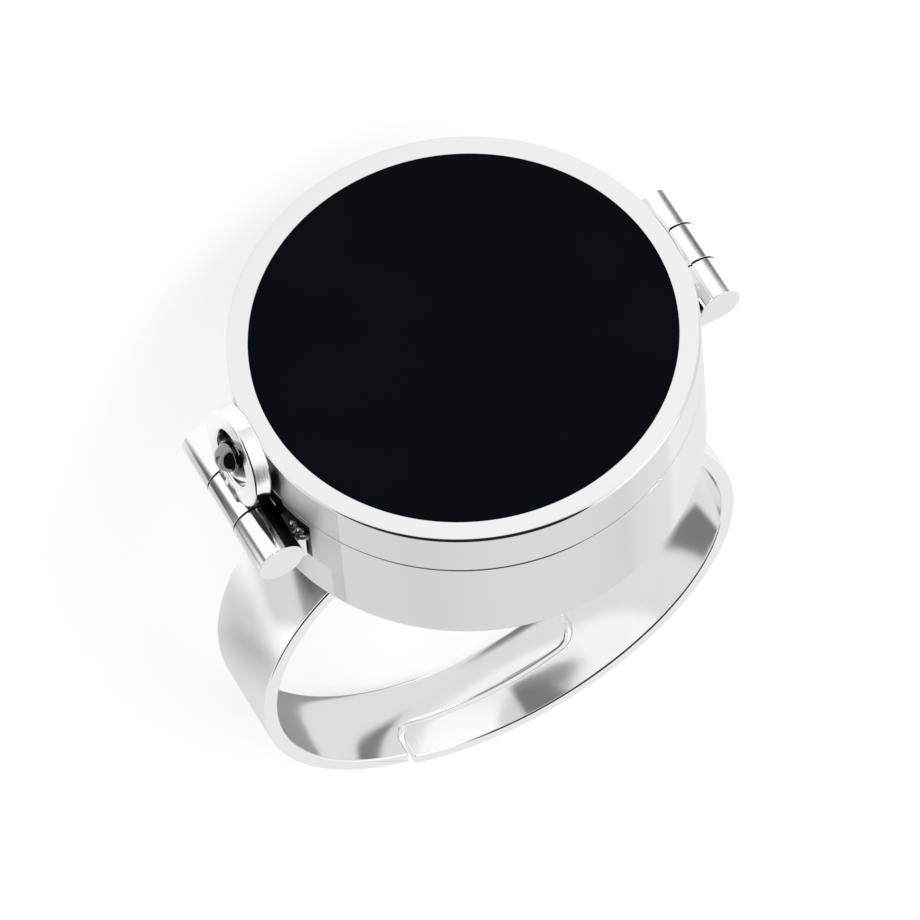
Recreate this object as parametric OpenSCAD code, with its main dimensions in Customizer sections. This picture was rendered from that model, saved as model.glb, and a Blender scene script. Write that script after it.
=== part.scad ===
// Finger ring with a shallow round box on top, a hinged lid and a snap hasp.
// The pieces are drawn as worn: X runs from the clasp to the hinge, Y along the finger,
// Z out of the lid, with zero at the middle of the lid's top. The last step lays the ring on its side.

/* [Box] */
// Outer diameter of the round box
box_d = 17.5; // [16.5:0.1:19]
// Height of the box with its lid
box_h = 6.65; // [6.4:0.05:7.4]
// Thickness of the side walls of the box and the lid
wall_t = 0.6; // [0.5:0.05:0.8]
// Thickness of the box floor
floor_t = 0.5; // [0.4:0.05:0.8]
// Radius on the lower outer edge of the box
box_edge_r = 0.15; // [0.1:0.05:0.3]

/* [Lid] */
// Height of the lid
lid_h = 2.1; // [1.9:0.05:2.4]
// Gap between the lid and the box
seam_gap = 0.05; // [0.03:0.01:0.1]
// Radius on the upper outer edge of the lid
lid_edge_r = 0.1; // [0.05:0.01:0.2]
// Diameter of the black inlay
inlay_d = 15.84; // [14.8:0.02:16]
// Thickness of the black inlay
inlay_t = 0.4; // [0.3:0.05:0.5]
// Gap round the inlay in its seat
inlay_gap = 0.02; // [0.01:0.01:0.05]
// Metal under the inlay
lid_web_t = 0.3; // [0.25:0.05:0.5]

/* [Hinge] */
// Radius of the hinge barrel
hinge_r = 0.8; // [0.75:0.01:0.9]
// Length of the hinge barrel
hinge_len = 5.16; // [4.2:0.02:5.4]
// How far the hinge barrel's middle lies towards the back
hinge_y = 0.13; // [0:0.01:0.3]
// Distance of the hinge axis outside the box wall
hinge_out = 0.64; // [0.6:0.01:0.8]
// Height of the hinge axis above the seam
hinge_up = 0.1; // [0.05:0.01:0.2]

/* [Clasp] */
// Radius of the clasp barrel
clasp_r = 0.92; // [0.85:0.01:1]
// Length of the clasp barrel
clasp_len = 6.2; // [6:0.05:7]
// How far the clasp barrel's middle lies towards the front
clasp_y = 0.15; // [0:0.01:0.3]
// Distance of the clasp axis outside the box wall
clasp_out = 0.77; // [0.7:0.01:0.85]
// Depth of the clasp axis below the lid's top
clasp_down = 3.6; // [3.5:0.05:3.8]
// Inward lean of the eye plate, in degrees
eye_lean = 7.5; // [6:0.5:8]
// Outer radius of the eye plate
eye_r = 1.92; // [1.85:0.01:2]
// Radius of the eye
eye_hole_r = 1.12; // [1.05:0.01:1.2]
// Height of the eye's middle above the clasp axis
eye_up = 2.7; // [2.6:0.05:2.8]
// How far the eye's middle lies towards the back from the middle of its knuckle
eye_shift = 0.25; // [0:0.05:0.4]
// Thickness of the eye plate
eye_t = 0.7; // [0.6:0.01:0.72]
// How far the plate's outer face lies outside the clasp axis
eye_out = 0.51; // [0.48:0.01:0.6]
// Width of the stem that joins the eye plate to its knuckle
eye_stem_w = 1.4; // [1:0.1:1.4]
// Radius on the edges of the eye plate
eye_edge_r = 0.08; // [0.05:0.01:0.15]
// Radius of the ball that the eye snaps over
ball_r = 0.58; // [0.5:0.01:0.65]
// Distance of the ball outside the box wall
ball_out = 0.95; // [0.85:0.01:1]
// Depth of the ball below the lid's top
ball_down = 0.72; // [0.6:0.01:0.9]
// Radius of the ball's neck
neck_r = 0.33; // [0.25:0.01:0.4]

/* [Barrels and pins] */
// Gap between neighbouring knuckles
knuckle_gap = 0.06; // [0.04:0.01:0.1]
// Gap between a barrel and the wall that is cut away for it
relief_gap = 0.06; // [0.05:0.01:0.1]
// Radius of the hidden pins
pin_r = 0.35; // [0.3:0.01:0.4]
// Radial clearance of the pins in their knuckles
pin_gap = 0.03; // [0.02:0.01:0.05]
// Solid end left on each barrel outside the pin
pin_cap = 0.45; // [0.3:0.05:0.6]
// Width and depth of the rolled knuckles' seam line
roll_seam = 0.08; // [0.05:0.01:0.1]

/* [Band] */
// Inner radius of the band's left arm and top
band_in_r = 9.16; // [8.9:0.02:9.4]
// Inner radius of the band's right arm
right_in_r = 9.09; // [8.9:0.01:9.4]
// How far the band's middle lies towards the clasp
band_aside = 0.69; // [0:0.01:0.8]
// How far the right arm's middle lies towards the hinge from the left one's
right_aside = 0.8; // [0.4:0.01:0.9]
// How far the right arm's middle lies below the left one's
right_below = 0.74; // [0.3:0.01:0.9]
// Thickness of the band
band_t = 0.57; // [0.5:0.01:0.7]
// Width of the band under the box
band_w_top = 4.5; // [4.2:0.05:4.8]
// Width of the band at the palm side
band_w_end = 3.06; // [3:0.02:3.4]
// Width of the solder pad between band and box
pad_w = 5.2; // [4.6:0.1:6]

/* [Band ends] */
// Width of the left arm's tongue
left_tongue_w = 1.72; // [1.6:0.02:1.8]
// Width of the right arm's tongue
right_tongue_w = 1.24; // [1.15:0.01:1.26]
// Reach of the left tongue past the band's middle
left_reach = 4.1; // [3.5:0.1:4.5]
// Reach of the right tongue past the band's middle
right_reach = 3.66; // [3.3:0.02:4]
// Clear space in front of the right tongue
tip_gap = 0.25; // [0.2:0.05:0.6]
// Radius on the inner corner of each tongue
tip_r = 0.75; // [0.5:0.05:0.9]

/* [Hidden] */
$fn = 96;

eps = 0.01;
// How far cutters run past what they cut
over = 1;
// How far soldered pieces reach into what carries them
sunk = 0.1;
box_r = box_d/2;
inner_r = box_r - wall_t;
seam_z = -lid_h;
inlay_r = inlay_d/2;

hinge_x = box_r + hinge_out;
hinge_z = seam_z + hinge_up;
clasp_x = -(box_r + clasp_out);
clasp_z = -clasp_down;
hinge_third = hinge_len/3;
clasp_third = clasp_len/3;
// Depth of the blocks that join the knuckles to the walls, from the barrel's axis
web_depth = 1.2;
// Tops of those blocks above the barrel's axis: on the box, on the lid and at the clasp
hinge_web_top = -seam_gap - hinge_up;
lid_web_top = 0.64;
clasp_web_top = 0.35;
// Angle of the seam line from the barrel's top, towards the clasp side
roll_seam_turn = 23;

// Middle of the left arm's circle, with the band's top just inside the box floor
band_out_r = band_in_r + band_t;
band_z = -box_h - band_out_r + 0.02;
band_low = -(band_z - right_below - right_in_r - band_t);

// The ring comes to rest on the box's lower edge and the band's rear edge, at these two angles,
// found from its shape and centre of mass
rest_tilt = 20;
rest_roll = -3;
// Down, as the worn ring has it while it lies on its side
down = [sin(rest_roll), cos(rest_roll)*cos(rest_tilt), -cos(rest_roll)*sin(rest_tilt)];
rest_lift = (box_r - box_edge_r)*norm([down[0], down[1]]) - (box_h - box_edge_r)*down[2] + box_edge_r;
// Shift that centres the lying ring over the origin
rest_shift = [-0.088, -11.352];

steel = [0.86, 0.86, 0.87];
black = [0.03, 0.04, 0.05];

// Turns the worn ring onto its side, on the floor, centred over the origin
module laid_down() {
    translate([rest_shift[0], rest_shift[1], rest_lift])
        rotate([0, 0, 180]) rotate([0, rest_roll, 0]) rotate([rest_tilt - 90, 0, 0]) children();
}

// Upright disc with its rim rounded at the top
module round_top_disc(r, h, edge) {
    cylinder(r = r - edge, h = h);
    cylinder(r = r, h = h - edge);
    translate([0, 0, h - edge]) rotate_extrude() translate([r - edge, 0]) circle(r = edge);
}

// Cylinder along the finger axis, from one distance along it to another
module along_y(x, z, r, from, to) {
    translate([x, to, z]) rotate([90, 0, 0]) cylinder(r = r, h = to - from);
}

// Outline of a knuckle, with the seam line of its rolled metal, and of the block that joins it to
// the wall at the given side
module knuckle_outline(r, side, low, high) {
    difference() {
        circle(r = r);
        rotate([0, 0, roll_seam_turn]) translate([-roll_seam/2, r - roll_seam]) square([roll_seam, r]);
    }
    translate([side > 0 ? 0 : -web_depth, low]) square([web_depth, high - low]);
}

// One knuckle with its block, from one distance along the barrel to another
module knuckle(x, z, r, from, to, side, low, high) {
    translate([x, to, z]) rotate([90, 0, 0]) linear_extrude(height = to - from)
        knuckle_outline(r, side, low, high);
}

module hinge_bore() {
    half = hinge_len/2 - pin_cap;
    along_y(hinge_x, hinge_z, pin_r + pin_gap, hinge_y - half, hinge_y + half);
}

module clasp_bore() {
    half = clasp_len/2 - pin_cap;
    along_y(clasp_x, clasp_z, pin_r + pin_gap, -clasp_y - half, -clasp_y + half);
}

// Cup of the box, open at the top
module cup() {
    cup_h = box_h - lid_h - seam_gap;
    difference() {
        translate([0, 0, seam_z - seam_gap]) mirror([0, 0, 1]) round_top_disc(box_r, cup_h, box_edge_r);
        translate([0, 0, -box_h + floor_t]) cylinder(r = inner_r, h = box_h);
    }
}

// Outline of one arm's end, seen along Z: a half plane with a notch at one side of the split
// line and a tongue at the other, whose inner corner is round
module arm_outline(edge_y, notch_x, tip_x) {
    far = 3*band_out_r;
    difference() {
        translate([-far, -far]) square([far, 2*far]);
        translate([notch_x, -far]) square([far, far + edge_y - tip_r]);
        translate([notch_x + tip_r, edge_y - 2*tip_r]) square([far, 2*tip_r]);
        translate([notch_x + tip_r, edge_y - tip_r]) circle(r = tip_r);
    }
    translate([-eps, edge_y]) square([tip_x - tip_r + eps, far]);
    translate([tip_x - 2*tip_r, edge_y + tip_r]) square([2*tip_r, far]);
    translate([tip_x - tip_r, edge_y + tip_r]) circle(r = tip_r);
}

// Upper half of the band, where the circles of the two arms merge
module crown() {
    intersection() {
        difference() {
            union() {
                along_y(0, 0, band_in_r + band_t, -band_w_top, band_w_top);
                along_y(right_aside, -right_below, right_in_r + band_t, -band_w_top, band_w_top);
            }
            along_y(0, 0, band_in_r, -band_w_top - over, band_w_top + over);
            along_y(right_aside, -right_below, right_in_r, -band_w_top - over, band_w_top + over);
        }
        translate([-2*band_out_r, -2*band_w_top, 0]) cube([4*band_out_r, 4*band_w_top, 2*band_out_r]);
    }
}

// Lower part of one arm, on the clasp's side of the band's middle, with its circle's middle set
// aside and below, down to the end outline at the palm side
module arm(aside, below, in_r, edge_y, notch_x, tip_x) {
    intersection() {
        difference() {
            along_y(-aside, -below, in_r + band_t, -band_w_top, band_w_top);
            along_y(-aside, -below, in_r, -band_w_top - over, band_w_top + over);
        }
        translate([0, 0, -3*band_out_r]) linear_extrude(height = 3*band_out_r)
            arm_outline(edge_y, notch_x, tip_x);
    }
}

// Solder that fills the wedge between the band and the box floor, drawn round the left arm's middle
module pad() {
    difference() {
        translate([-pad_w/2, -band_w_top, band_in_r/2]) cube([pad_w, 2*band_w_top, band_in_r]);
        along_y(0, 0, band_in_r + band_t/2, -band_w_top - over, band_w_top + over);
    }
}

// Puts a piece of the band in its place and cuts it to the band's width, which shrinks evenly
// from the box to the palm side
module tapered() {
    slope = (band_w_top - band_w_end)/2/(band_low - box_h);
    wide = band_w_top/2 + slope*sunk;
    narrow = band_w_end/2 - slope*over;
    intersection() {
        translate([-band_aside, 0, band_z]) children();
        rotate([90, 0, 90]) translate([0, 0, -2*box_r]) linear_extrude(height = 4*box_r)
            polygon([[-wide, sunk - box_h], [-narrow, -band_low - over],
                     [narrow, -band_low - over], [wide, sunk - box_h]]);
    }
}

// Open adjustable band with its solder
module band() {
    split_y = band_w_end/2 - left_tongue_w;
    right_edge = band_w_end/2 - right_tongue_w;
    tapered() crown();
    tapered() arm(0, 0, band_in_r, split_y, -(right_reach + tip_gap), left_reach);
    tapered() rotate([0, 0, 180])
        arm(right_aside, right_below, right_in_r, right_edge, -left_reach, right_reach);
    tapered() pad();
}

// The two outer knuckles of a barrel, with their blocks
module outer_knuckles(x, z, r, middle, third, side, low, high) {
    for (from = [middle - third*1.5, middle + third/2 + knuckle_gap]) {
        to = from + third - knuckle_gap;
        knuckle(x, z, r, from, to, side, low, high);
    }
}

module case_and_band() {
    color(steel) laid_down() {
        difference() {
            union() {
                cup();
                band();
            }
            along_y(hinge_x, hinge_z, hinge_r + relief_gap, hinge_y - hinge_third/2, hinge_y + hinge_third/2);
            along_y(clasp_x, clasp_z, clasp_r + relief_gap, -clasp_y - clasp_third/2, -clasp_y + clasp_third/2);
        }
        difference() {
            outer_knuckles(hinge_x, hinge_z, hinge_r, hinge_y, hinge_third, -1, -hinge_r, hinge_web_top);
            hinge_bore();
            cylinder(r = inner_r, h = 4*box_h, center = true);
        }
        difference() {
            outer_knuckles(clasp_x, clasp_z, clasp_r, -clasp_y, clasp_third, 1, -clasp_r, clasp_web_top);
            clasp_bore();
            cylinder(r = inner_r, h = 4*box_h, center = true);
        }
    }
}

module lid() {
    from = hinge_y - hinge_third/2 + knuckle_gap;
    to = hinge_y + hinge_third/2 - knuckle_gap;
    ball_x = -(box_r + ball_out);
    ball_y = eye_shift - clasp_y;
    color(steel) laid_down() {
        difference() {
            translate([0, 0, seam_z]) round_top_disc(box_r, lid_h, lid_edge_r);
            translate([0, 0, -inlay_t]) cylinder(r = inlay_r + inlay_gap, h = lid_h);
            translate([0, 0, seam_z - over]) cylinder(r = inner_r, h = lid_h - inlay_t - lid_web_t + over);
            along_y(hinge_x, hinge_z, hinge_r + relief_gap, -hinge_len, hinge_len);
        }
        difference() {
            knuckle(hinge_x, hinge_z, hinge_r, from, to, -1, -hinge_up, lid_web_top);
            hinge_bore();
            cylinder(r = inner_r, h = 4*box_h, center = true);
        }
        difference() {
            union() {
                translate([ball_x, ball_y, -ball_down]) sphere(r = ball_r);
                translate([ball_x, ball_y, -ball_down]) rotate([0, 90, 0])
                    cylinder(r = neck_r, h = ball_out + wall_t/2);
            }
            cylinder(r = inner_r, h = 4*box_h, center = true);
        }
    }
}

module lid_inlay() {
    color(black) laid_down()
        translate([0, 0, -inlay_t]) cylinder(r = inlay_r, h = inlay_t);
}

// Round plate with rounded rims and the eye through it, lying flat with its outer face down
module eye_plate() {
    difference() {
        union() {
            cylinder(r = eye_r - eye_edge_r, h = eye_t);
            translate([0, 0, eye_edge_r]) cylinder(r = eye_r, h = eye_t - 2*eye_edge_r);
            for (z = [eye_edge_r, eye_t - eye_edge_r])
                translate([0, 0, z]) rotate_extrude() translate([eye_r - eye_edge_r, 0]) circle(r = eye_edge_r);
        }
        translate([0, 0, -over]) cylinder(r = eye_hole_r, h = eye_t + 2*over);
        translate([0, 0, -eps]) cylinder(r1 = eye_hole_r + eye_edge_r + eps, r2 = eye_hole_r - eps,
                                         h = eye_edge_r + 2*eps);
    }
}

module hasp() {
    half = clasp_third/2 - knuckle_gap;
    color(steel) laid_down() translate([clasp_x, -clasp_y, clasp_z]) rotate([0, eye_lean, 0])
    difference() {
        union() {
            difference() {
                union() {
                    translate([-eye_out, eye_shift, eye_up]) rotate([0, 90, 0]) eye_plate();
                    translate([-eye_out, eye_shift - eye_stem_w/2, 0])
                        cube([eye_t, eye_stem_w, eye_up - eye_hole_r - eye_edge_r]);
                }
                along_y(0, 0, clasp_r + relief_gap, half - eps, clasp_len);
                along_y(0, 0, clasp_r + relief_gap, -clasp_len, -half + eps);
            }
            along_y(0, 0, clasp_r, -half, half);
        }
        along_y(0, 0, pin_r + pin_gap, -clasp_len, clasp_len);
    }
}

module hinge_pin() {
    half = hinge_len/2 - pin_cap - pin_gap;
    color(steel) laid_down() along_y(hinge_x, hinge_z, pin_r, hinge_y - half, hinge_y + half);
}

module clasp_pin() {
    half = clasp_len/2 - pin_cap - pin_gap;
    color(steel) laid_down() along_y(clasp_x, clasp_z, pin_r, -clasp_y - half, -clasp_y + half);
}

case_and_band();
lid();
lid_inlay();
hasp();
hinge_pin();
clasp_pin();
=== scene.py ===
"""Looks of a finger ring that carries a shallow round box with a hinged lid and a snap hasp.

Every piece is modelled in millimetres as the ring is worn: X runs from the clasp to the hinge,
Y along the finger and Z out of the lid, with zero at the middle of the lid's top. The last step of
each piece lays it on its side in the row frame, in metres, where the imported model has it.
"""

import logging
import math
import sys
from contextlib import contextmanager
from dataclasses import dataclass, replace
from enum import Enum
from typing import Callable, Iterator, Optional, Sequence

import bmesh
import bpy
from mathutils import Matrix, Vector

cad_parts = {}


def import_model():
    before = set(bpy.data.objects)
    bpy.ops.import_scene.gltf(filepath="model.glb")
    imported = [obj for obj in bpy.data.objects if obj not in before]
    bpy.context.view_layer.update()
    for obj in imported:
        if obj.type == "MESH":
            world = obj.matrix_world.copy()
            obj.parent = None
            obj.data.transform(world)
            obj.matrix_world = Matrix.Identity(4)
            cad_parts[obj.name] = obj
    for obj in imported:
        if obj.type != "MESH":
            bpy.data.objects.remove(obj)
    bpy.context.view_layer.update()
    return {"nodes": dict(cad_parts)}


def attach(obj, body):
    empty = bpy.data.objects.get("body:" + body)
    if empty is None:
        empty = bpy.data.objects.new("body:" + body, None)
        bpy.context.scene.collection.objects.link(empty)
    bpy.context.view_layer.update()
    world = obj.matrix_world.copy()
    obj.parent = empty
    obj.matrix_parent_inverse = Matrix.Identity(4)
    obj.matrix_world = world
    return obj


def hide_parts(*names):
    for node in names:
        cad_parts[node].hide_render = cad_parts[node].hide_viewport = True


log = logging.getLogger("ring")

IMAGE_PX = 920
SENSOR_MM = 36.0
MM = 0.001

# The photo's direction of view, from the worn ring to the camera
TOWARDS_VIEWER = Vector((-0.206, -0.474, 0.856))
# Measures nearer than this, in millimetres, count as the same
CLOSE = 0.004
# How far cutters run past what they cut
FAR = 20.0
# Gap between a barrel and the wall or plate that is cut away for it
ROOM = 0.06
# How many sides the round pieces have
BOX_SIDES = 192
PLATE_SIDES = 128
BARREL_SIDES = 96
PIN_SIDES = 48
# How squarely a face looks along an axis, as the least part of its normal
SQUARE_ON = 0.9
# Edges sharper than this angle, in degrees, are rounded, and then shaded sharp past the other one
ROUNDED_PAST = 38.0
SHARP_PAST = 35.0

Piece = bpy.types.Object
Face = bmesh.types.BMFace
Corner = bmesh.types.BMVert
Test = Callable[[object], bool]


class Pick(Enum):
    """What an edit acts on."""

    CORNER = "VERT"
    EDGE = "EDGE"
    FACE = "FACE"


class Along(Enum):
    """Direction of a cylinder's axis, as the turn that brings it there."""

    FINGER = (math.pi / 2, 0.0, 0.0)
    ACROSS = (0.0, math.pi / 2, 0.0)
    UP = (0.0, 0.0, 0.0)


class Body(Enum):
    """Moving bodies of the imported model."""

    CASE = "case"
    LID = "lid"
    HASP = "hasp"


class Join(Enum):
    """How one solid is joined with another."""

    CUT = "DIFFERENCE"
    WELD = "UNION"


@dataclass(frozen=True)
class Rest:
    """How the ring lies on its side, on the box's lower edge and the band's rear edge."""

    tilt: float = 20.0
    roll: float = -3.0
    shift: tuple[float, float] = (-0.088, -11.352)
    box_r: float = 8.75
    box_h: float = 6.65
    edge_r: float = 0.15

    def turn(self) -> Matrix:
        """Gives the turn from the worn ring to the lying one.

        Returns:
            The turn.
        """
        about_z = Matrix.Rotation(math.pi, 4, "Z")
        about_y = Matrix.Rotation(math.radians(self.roll), 4, "Y")
        about_x = Matrix.Rotation(math.radians(self.tilt - 90.0), 4, "X")
        return about_z @ about_y @ about_x

    def place(self) -> Matrix:
        """Gives the whole move from the worn ring to the lying one, still in millimetres.

        Returns:
            The move.
        """
        down = self.turn().to_3x3().transposed() @ Vector((0.0, 0.0, -1.0))
        lift = (self.box_r - self.edge_r) * math.hypot(down.x, down.y)
        lift += self.edge_r - (self.box_h - self.edge_r) * down.z
        return Matrix.Translation((*self.shift, lift)) @ self.turn()

    def in_metres(self) -> Matrix:
        """Returns the move from the worn ring in millimetres to the row frame in metres."""
        return Matrix.Scale(MM, 4) @ self.place()


REST = Rest()


class Bench:
    """Blender's modelling operators, used on one piece at a time, in millimetres."""

    @staticmethod
    def clear() -> None:
        """Leaves edit mode and deselects everything."""
        if bpy.context.object is not None and bpy.context.object.mode != "OBJECT":
            bpy.ops.object.mode_set(mode="OBJECT")
        bpy.ops.object.select_all(action="DESELECT")

    @staticmethod
    def take(piece: Piece) -> None:
        """Selects one piece alone and makes it active.

        Args:
            piece: the piece.
        """
        Bench.clear()
        piece.select_set(True)
        bpy.context.view_layer.objects.active = piece

    @staticmethod
    def fresh(name: str) -> Piece:
        """Names the primitive that was just added and settles its place in its mesh.

        Args:
            name: the piece's name.

        Returns:
            The piece.
        """
        piece = bpy.context.object
        piece.name = name
        piece.data.name = name
        Bench.take(piece)
        bpy.ops.object.transform_apply(location=True, rotation=True, scale=True)
        return piece

    @staticmethod
    def cylinder(
        name: str,
        radius: float,
        low: float,
        high: float,
        at: tuple[float, float] = (0.0, 0.0),
        along: Along = Along.UP,
        sides: int = BOX_SIDES,
    ) -> Piece:
        """Adds a cylinder.

        Args:
            name: its name.
            radius: its radius.
            low: where it starts along its axis.
            high: where it ends along its axis.
            at: the other two coordinates of its axis, in the order X, Y, Z.
            along: direction of its axis.
            sides: how many sides it has.

        Returns:
            The cylinder.
        """
        middle = (low + high) / 2
        centre = {
            Along.UP: (at[0], at[1], middle),
            Along.FINGER: (at[0], middle, at[1]),
            Along.ACROSS: (middle, at[0], at[1]),
        }[along]
        Bench.clear()
        bpy.ops.mesh.primitive_cylinder_add(
            vertices=sides,
            radius=radius,
            depth=high - low,
            end_fill_type="NGON",
            location=centre,
            rotation=along.value,
        )
        return Bench.fresh(name)

    @staticmethod
    def block(name: str, low: Sequence[float], high: Sequence[float]) -> Piece:
        """Adds a block between two corners.

        Args:
            name: its name.
            low: its lowest corner.
            high: its highest corner.

        Returns:
            The block.
        """
        centre = [(a + b) / 2 for a, b in zip(low, high)]
        Bench.clear()
        bpy.ops.mesh.primitive_cube_add(
            size=1.0, location=centre, scale=[b - a for a, b in zip(low, high)]
        )
        return Bench.fresh(name)

    @staticmethod
    @contextmanager
    def shaping(piece: Piece) -> Iterator[None]:
        """Holds a piece in edit mode.

        Args:
            piece: the piece to shape.

        Yields:
            Nothing; the operators act on the piece.
        """
        Bench.take(piece)
        bpy.ops.object.mode_set(mode="EDIT")
        yield
        bpy.ops.object.mode_set(mode="OBJECT")

    @staticmethod
    def choose(piece: Piece, pick: Pick, test: Test) -> None:
        """Selects the corners, edges or faces that pass a test.

        Args:
            piece: a piece in edit mode.
            pick: what is selected.
            test: takes a bmesh element and says whether it is chosen.
        """
        bpy.ops.mesh.select_mode(type=pick.value)
        bpy.ops.mesh.select_all(action="DESELECT")
        mesh = bmesh.from_edit_mesh(piece.data)
        group = {Pick.CORNER: mesh.verts, Pick.EDGE: mesh.edges, Pick.FACE: mesh.faces}
        for element in [e for e in group[pick] if test(e)]:
            element.select_set(True)
        bmesh.update_edit_mesh(piece.data)

    @staticmethod
    def choose_ring(piece: Piece, radius: float, height: float) -> None:
        """Selects a circle of edges round the Z axis.

        Args:
            piece: a piece in edit mode.
            radius: the circle's radius.
            height: its height.
        """

        def on_ring(corner: Corner) -> bool:
            """Says whether a corner lies on the circle."""
            off = abs(math.hypot(corner.co.x, corner.co.y) - radius)
            return off < CLOSE and abs(corner.co.z - height) < CLOSE

        Bench.choose(piece, Pick.EDGE, lambda e: all(on_ring(v) for v in e.verts))

    @staticmethod
    def extrude(move: Sequence[float]) -> None:
        """Extrudes what is chosen by a move."""
        bpy.ops.mesh.extrude_region_move(TRANSFORM_OT_translate={"value": move})

    @staticmethod
    def sink(depth: float, inset: float) -> None:
        """Insets the chosen faces and moves what is left inside along Z, by a signed depth."""
        bpy.ops.mesh.inset(thickness=inset, depth=0.0)
        Bench.extrude((0.0, 0.0, depth))

    @staticmethod
    def round_off(width: float, steps: int = 3) -> None:
        """Bevels the chosen edges.

        Args:
            width: width of the bevel.
            steps: how many faces it has across.
        """
        bpy.ops.mesh.bevel(
            offset_type="OFFSET", offset=width, segments=steps, profile=0.5, affect="EDGES"
        )

    @staticmethod
    def combine(piece: Piece, tool: Piece, how: Join) -> None:
        """Cuts a tool away from a piece, or welds it on, and removes the tool.

        Args:
            piece: the piece that is changed.
            tool: the solid that cuts it or joins it.
            how: cut or weld.
        """
        Bench.take(piece)
        step = piece.modifiers.new("join", "BOOLEAN")
        step.object = tool
        step.operation = how.value
        step.solver = "EXACT"
        bpy.ops.object.modifier_apply(modifier=step.name)
        bpy.data.objects.remove(tool)

    @staticmethod
    def finish_edges(piece: Piece, width: float, steps: int = 2) -> None:
        """Rounds all sharp edges of a piece a little.

        Args:
            piece: the piece.
            width: width of the rounding.
            steps: how many faces it has across.
        """
        Bench.take(piece)
        step = piece.modifiers.new("edges", "BEVEL")
        step.width = width
        step.segments = steps
        step.limit_method = "ANGLE"
        step.angle_limit = math.radians(ROUNDED_PAST)
        step.use_clamp_overlap = False
        step.miter_outer = "MITER_ARC"
        bpy.ops.object.modifier_apply(modifier=step.name)

    @staticmethod
    def smooth(piece: Piece, angle: float = SHARP_PAST) -> None:
        """Shades a piece smooth, with its large faces kept flat.

        Args:
            piece: the piece.
            angle: edges sharper than this angle, in degrees, stay sharp.
        """
        Bench.take(piece)
        bpy.ops.object.shade_smooth_by_angle(angle=math.radians(angle))
        step = piece.modifiers.new("normals", "WEIGHTED_NORMAL")
        step.keep_sharp = True
        step.weight = 60
        bpy.ops.object.modifier_apply(modifier=step.name)

    @staticmethod
    def outward(piece: Piece) -> None:
        """Merges doubles and points all faces outwards.

        Args:
            piece: the piece.
        """
        with Bench.shaping(piece):
            bpy.ops.mesh.select_all(action="SELECT")
            bpy.ops.mesh.remove_doubles(threshold=1e-4)
            bpy.ops.mesh.normals_make_consistent(inside=False)

    @staticmethod
    def merge(first: Piece, *others: Piece) -> Piece:
        """Joins several objects into the first one.

        Args:
            first: the object that stays.
            others: the objects that become part of it.

        Returns:
            The first object.
        """
        Bench.take(first)
        for other in others:
            other.select_set(True)
        bpy.ops.object.join()
        return first

    @staticmethod
    def dress(
        piece: Piece,
        finish: bpy.types.Material,
        *zones: tuple[bpy.types.Material, Test],
    ) -> None:
        """Gives a piece its finish.

        Args:
            piece: the piece.
            finish: the finish of all that lies in no zone.
            zones: other finishes, each with a test that says whether a face has that finish.
        """
        piece.data.materials.clear()
        piece.data.materials.append(finish)
        for slot, (other, test) in enumerate(zones, 1):
            piece.data.materials.append(other)
            with Bench.shaping(piece):
                Bench.choose(piece, Pick.FACE, test)
                piece.active_material_index = slot
                bpy.ops.object.material_slot_assign()

    @staticmethod
    def settle(
        piece: Piece, body: Body, stands_for: Optional[str] = None, slot: str = "steel"
    ) -> None:
        """Lays a finished piece in the row frame and lets it ride on its body.

        Args:
            piece: the finished piece.
            body: the body that it rides on.
            stands_for: the CAD node that it replaces, if it replaces one.
            slot: not used.
        """
        Bench.clear()
        piece.data.transform(REST.in_metres())
        piece.matrix_world = Matrix.Identity(4)
        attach(piece, body.value)
        if stands_for:
            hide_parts(stands_for)
        log.info("%s: %d faces, rides on %s", piece.name, len(piece.data.polygons), body.value)


class Nodes:
    """A material, whose nodes are added one at a time."""

    def __init__(self, name: str) -> None:
        """Starts the material.

        Args:
            name: its name.
        """
        self.material = bpy.data.materials.new(name)
        self.material.use_nodes = True
        self.tree = self.material.node_tree
        self.shader = self.tree.nodes["Principled BSDF"]

    def feed(self, node: bpy.types.Node, inputs: dict) -> None:
        """Sets the inputs of a node.

        Args:
            node: the node.
            inputs: for each input's name or number, its value or the socket that feeds it.
        """
        for name, value in inputs.items():
            if isinstance(value, bpy.types.NodeSocket):
                self.tree.links.new(value, node.inputs[name])
            else:
                node.inputs[name].default_value = value

    def add(self, kind: str, inputs: dict, **settings: str) -> bpy.types.Node:
        """Adds a node.

        Args:
            kind: its type, without the words that all of them start with.
            inputs: its inputs, as feed takes them.
            settings: its other settings.

        Returns:
            The node.
        """
        node = self.tree.nodes.new(f"ShaderNode{kind}")
        for name, value in settings.items():
            setattr(node, name, value)
        self.feed(node, inputs)
        return node


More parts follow.
